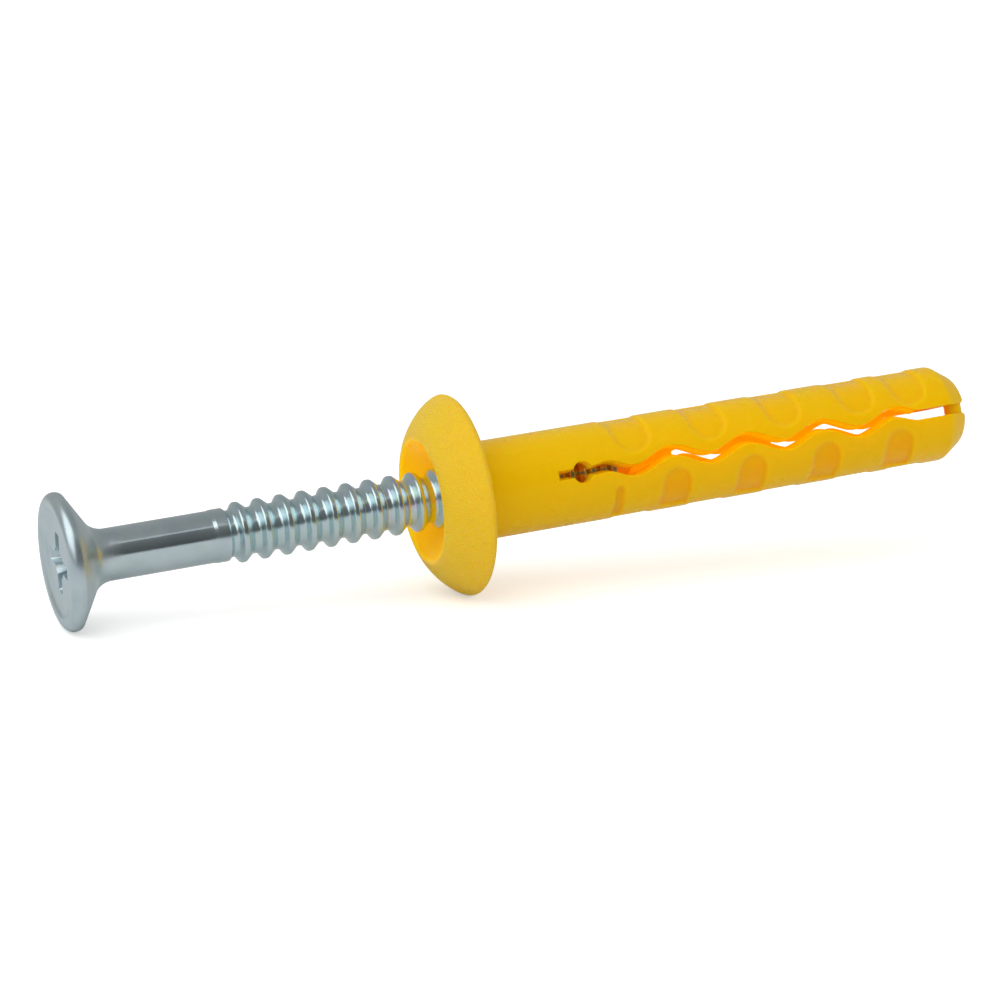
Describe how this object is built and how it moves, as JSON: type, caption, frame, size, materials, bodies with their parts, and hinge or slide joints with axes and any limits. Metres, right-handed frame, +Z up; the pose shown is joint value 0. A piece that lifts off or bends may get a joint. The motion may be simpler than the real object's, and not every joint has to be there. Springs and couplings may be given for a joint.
{
  "type": "nylon hammer fixing",
  "caption": "Nylon wall plug with a domed collar and a wavy split, holding a zinc-plated steel drive nail with ring ridges and a countersunk cross-recess head.",
  "frame": {"origin": "under the middle of the fixing as it lies at rest, on the surface it lies on", "axes": "+X from the nail's head towards the sleeve's tip, +Z up; the fixing's own axis leans 4.8 degrees up towards +X because it rests on the rims of the head and of the wider collar"},
  "size_m": [0.0788, 0.0164, 0.0163],
  "materials": {
    "nylon": "satin yellow nylon, moulded, slightly translucent",
    "zinc_steel": "bright bluish zinc plating"
  },
  "bodies": {
    "sleeve": {"sleeve": "nylon"},
    "nail": {"nail": "zinc_steel"}
  },
  "joints": [
    {"name": "nail_drive", "type": "slide", "parent": "sleeve", "child": "nail", "axis": [0.9965, 0, 0.0835], "range_m": [0, 0.02865]}
  ]
}
